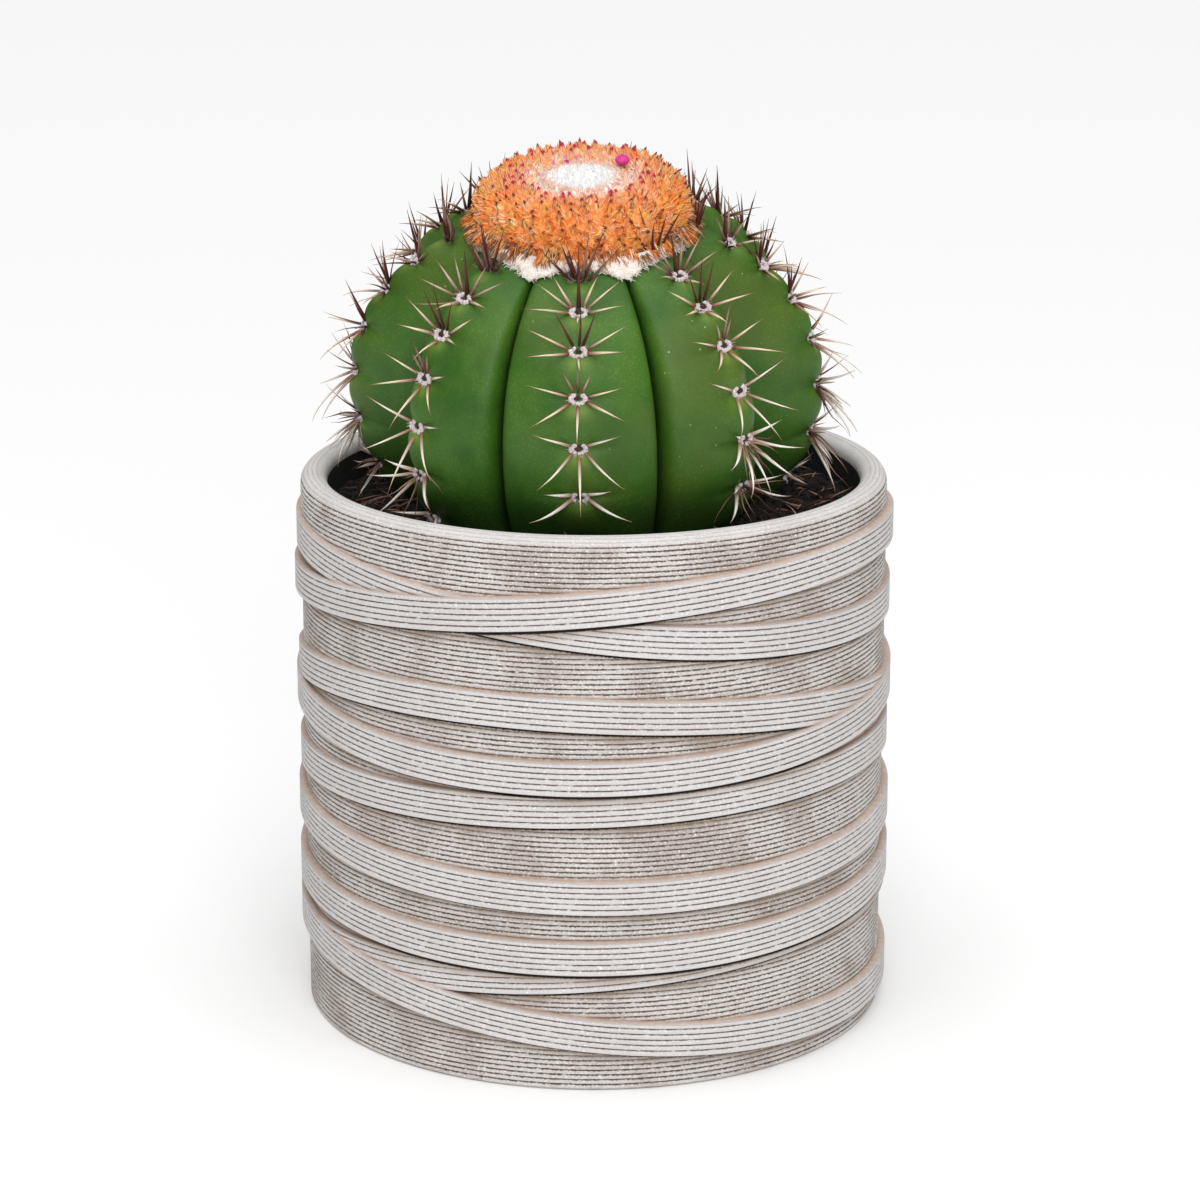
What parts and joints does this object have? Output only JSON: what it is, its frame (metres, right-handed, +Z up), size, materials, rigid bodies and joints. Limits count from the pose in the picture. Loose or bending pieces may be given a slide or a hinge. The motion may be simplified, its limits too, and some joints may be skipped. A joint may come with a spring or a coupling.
{
  "type": "potted melocactus",
  "caption": "Round ribbed cactus with curved spines and a bristly orange cap, growing in a cylindrical cast planter wrapped in raised tilted bands.",
  "frame": {"origin": "centre of the planter's underside, on the surface that it stands on", "axes": "+Z up along the planter's axis, -Y towards the front, where the plant leans a little, +X to the right"},
  "size_m": [0.1524, 0.1524, 0.2231],
  "materials": {
    "planter": "whitewashed cast relief, rough",
    "soil": "dark loose potting soil",
    "cactus": "waxy green skin with straw to dark brown spines",
    "wool": "soft white plant wool",
    "cephalium": "dense orange bristles with dark tips",
    "flower": "magenta petals, satin"
  },
  "bodies": {
    "root": {"planter": "planter", "soil": "soil", "cactus": "cactus", "wool_skirt": "wool", "cephalium": "cephalium", "wool_crown": "wool", "flower_bud": "flower"}
  },
  "joints": []
}
